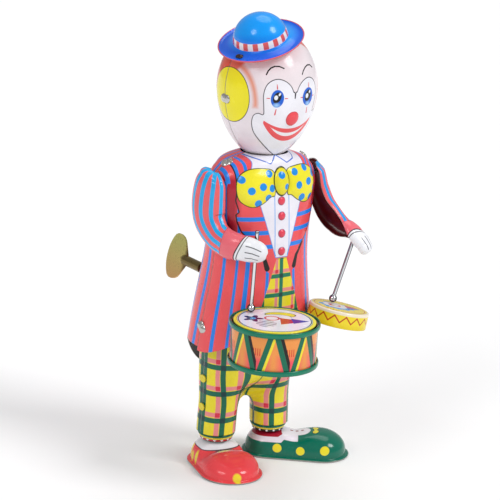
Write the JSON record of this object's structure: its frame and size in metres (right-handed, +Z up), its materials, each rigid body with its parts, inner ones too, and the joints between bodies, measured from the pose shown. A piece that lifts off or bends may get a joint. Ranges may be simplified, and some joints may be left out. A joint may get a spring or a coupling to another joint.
{
  "type": "wind-up toy drummer",
  "caption": "Wind-up tin clown drummer that stands on big shoes, with swinging arms, a turning head, drums and a winding key.",
  "frame": {"origin": "middle of the footprint, on the floor under the soles", "axes": "+Z up, the clown looks along -Y, its left hand is towards +X"},
  "size_m": [0.0932, 0.125, 0.2321],
  "materials": {
    "coat_tin": "gloss",
    "trouser_tin": "gloss",
    "cuff_tin": "gloss",
    "red_shoe_tin": "gloss",
    "green_shoe_tin": "gloss",
    "face_tin": "gloss",
    "hat_tin": "gloss",
    "drum_side_tin": "gloss",
    "drum_head_tin": "gloss",
    "hoop_tin": "gloss",
    "small_drum_tin": "gloss",
    "bare_tin": "satin",
    "steel_wire": "satin",
    "spring_steel": "satin",
    "chrome_rod": "polished",
    "brass_sheet": "satin"
  },
  "bodies": {
    "body": {"coat_front": "coat_tin", "coat_back": "coat_tin", "shoulder_tab_right": "bare_tin", "shoulder_tab_left": "bare_tin", "coat_tab_right": "bare_tin", "coat_tab_left": "bare_tin", "trousers_front": "trouser_tin", "trousers_back": "trouser_tin", "trouser_tab_right_upper": "trouser_tin", "trouser_tab_right_lower": "trouser_tin", "trouser_tab_left_upper": "trouser_tin", "trouser_tab_left_lower": "trouser_tin", "ankle_cuff_right": "cuff_tin", "ankle_cuff_left": "cuff_tin", "shoe_right": "red_shoe_tin", "shoe_left": "green_shoe_tin", "sole_plate_right": "bare_tin", "sole_plate_left": "bare_tin", "neck_bridge": "bare_tin", "drum_shell": "drum_side_tin", "drum_head": "drum_head_tin", "drum_base": "bare_tin", "drum_hoop_top": "hoop_tin", "drum_hoop_bottom": "hoop_tin", "drum_bracket": "bare_tin", "small_drum_cup": "small_drum_tin", "small_drum_base": "bare_tin", "small_drum_bracket": "bare_tin", "plate_front": "bare_tin", "plate_back": "bare_tin", "pillar_1": "steel_wire", "pillar_2": "steel_wire", "pillar_3": "steel_wire", "mainspring": "spring_steel"},
    "head": {"head_front": "face_tin", "head_back": "face_tin", "ear_tab_right": "bare_tin", "ear_tab_left": "bare_tin", "hat": "hat_tin", "hat_tab_1": "bare_tin", "hat_tab_2": "bare_tin", "head_spindle": "steel_wire"},
    "right_arm": {"arm_right": "coat_tin", "arm_shaft_right": "steel_wire", "drumstick_right": "chrome_rod"},
    "left_arm": {"arm_left": "coat_tin", "arm_shaft_left": "steel_wire", "drumstick_left": "chrome_rod"},
    "key_train": {"winding_key": "brass_sheet", "winding_arbor": "steel_wire", "great_wheel": "brass_sheet"},
    "second_train": {"second_arbor": "steel_wire", "second_wheel": "brass_sheet"},
    "cam_train": {"cam_arbor": "steel_wire", "third_wheel": "brass_sheet", "cam_right": "steel_wire", "cam_left": "steel_wire"},
    "escape_train": {"escape_arbor": "steel_wire", "escape_wheel": "brass_sheet"},
    "governor": {"governor_anchor": "steel_wire"}
  },
  "joints": [
    {"name": "key_turn", "type": "hinge", "parent": "body", "child": "key_train", "pos_m": [-0.02071, 0.00748, 0.096], "axis": [0, 1, 0], "continuous": true},
    {"name": "second_turn", "type": "hinge", "parent": "body", "child": "second_train", "pos_m": [-0.00744, 0.00748, 0.10083], "axis": [0, 1, 0], "continuous": true},
    {"name": "cam_turn", "type": "hinge", "parent": "body", "child": "cam_train", "pos_m": [-0.00261, 0.00748, 0.1141], "axis": [0, 1, 0], "continuous": true},
    {"name": "escape_turn", "type": "hinge", "parent": "body", "child": "escape_train", "pos_m": [0.00646, 0.00748, 0.10328], "axis": [0, 1, 0], "continuous": true},
    {"name": "governor_rock", "type": "hinge", "parent": "body", "child": "governor", "pos_m": [0.00646, 0.00748, 0.09368], "axis": [0, 1, 0], "range_deg": [-8, 8]},
    {"name": "right_arm_swing", "type": "hinge", "parent": "body", "child": "right_arm", "pos_m": [-0.00671, -0.00152, 0.15], "axis": [-1, 0, 0], "range_deg": [0, 20]},
    {"name": "left_arm_swing", "type": "hinge", "parent": "body", "child": "left_arm", "pos_m": [-0.00671, -0.00152, 0.15], "axis": [-1, 0, 0], "range_deg": [0, 20]},
    {"name": "head_turn", "type": "hinge", "parent": "body", "child": "head", "pos_m": [-0.00671, 0.00148, 0.156], "axis": [0, 0, 1], "range_deg": [-18, 18]}
  ],
  "couplings": [
    {"joint": "second_turn", "follows": "key_turn", "ratio": -3.6},
    {"joint": "cam_turn", "follows": "key_turn", "ratio": 12.96},
    {"joint": "escape_turn", "follows": "key_turn", "ratio": -46.656}
  ]
}
